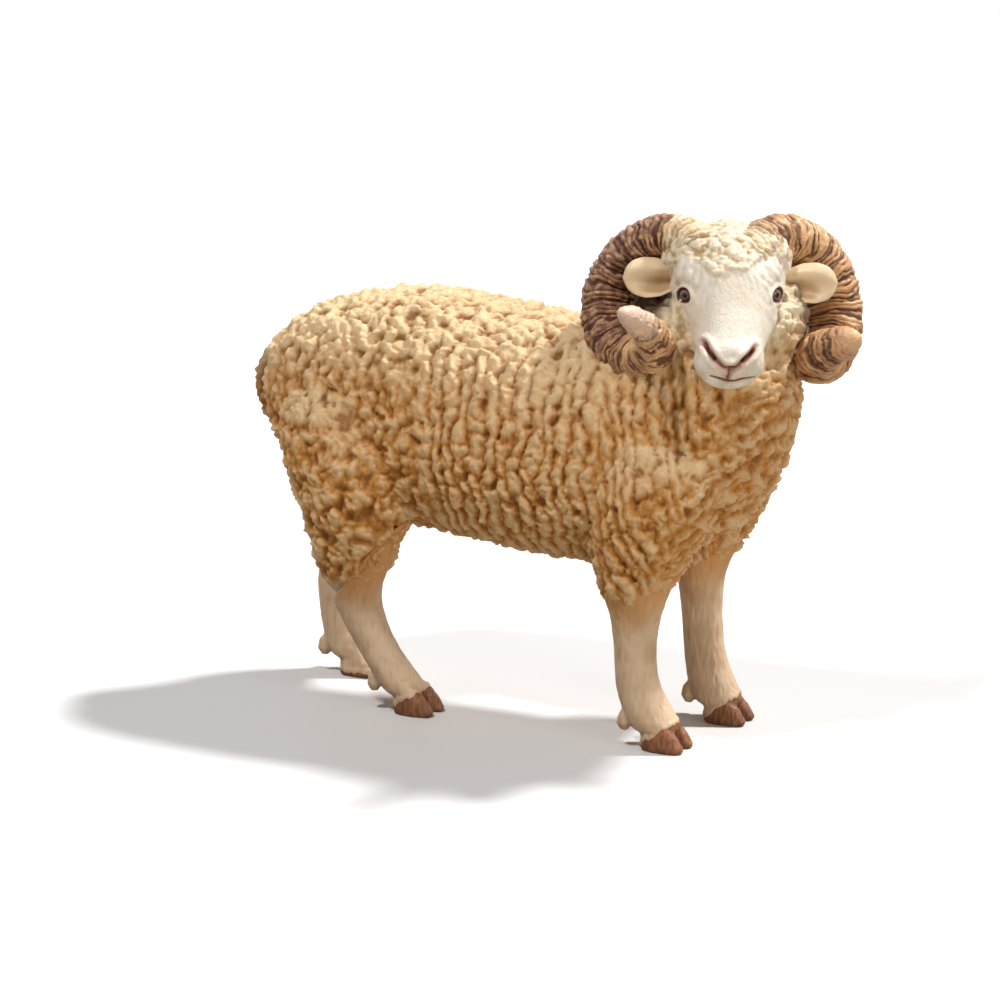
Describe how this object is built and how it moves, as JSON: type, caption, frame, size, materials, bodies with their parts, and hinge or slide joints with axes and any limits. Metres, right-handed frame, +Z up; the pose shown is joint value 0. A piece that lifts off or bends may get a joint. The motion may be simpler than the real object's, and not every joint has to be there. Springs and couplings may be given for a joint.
{
  "type": "toy farm animal figure",
  "caption": "Standing ram figure with curly fleece, coiled ridged horns and cloven hooves, its head turned to the right.",
  "frame": {"origin": "on the floor, under the middle of the standing figure's bounding box", "axes": "+X towards the breast, +Y to the animal's left, +Z up"},
  "size_m": [0.1134, 0.0502, 0.0891],
  "materials": {
    "fleece": "satin painted soft plastic",
    "tail_fleece": "satin painted soft plastic",
    "face": "satin painted soft plastic",
    "horn_right_paint": "satin painted soft plastic",
    "horn_left_paint": "satin painted soft plastic",
    "ear_right_paint": "satin painted soft plastic",
    "ear_left_paint": "satin painted soft plastic",
    "foreleg_right_paint": "satin painted soft plastic",
    "foreleg_left_paint": "satin painted soft plastic",
    "hindleg_right_paint": "satin painted soft plastic",
    "hindleg_left_paint": "satin painted soft plastic"
  },
  "bodies": {
    "root": {"body": "fleece", "tail": "tail_fleece", "head": "face", "horn_right": "horn_right_paint", "horn_left": "horn_left_paint", "ear_right": "ear_right_paint", "ear_left": "ear_left_paint", "foreleg_right": "foreleg_right_paint", "foreleg_left": "foreleg_left_paint", "hindleg_right": "hindleg_right_paint", "hindleg_left": "hindleg_left_paint"}
  },
  "joints": []
}
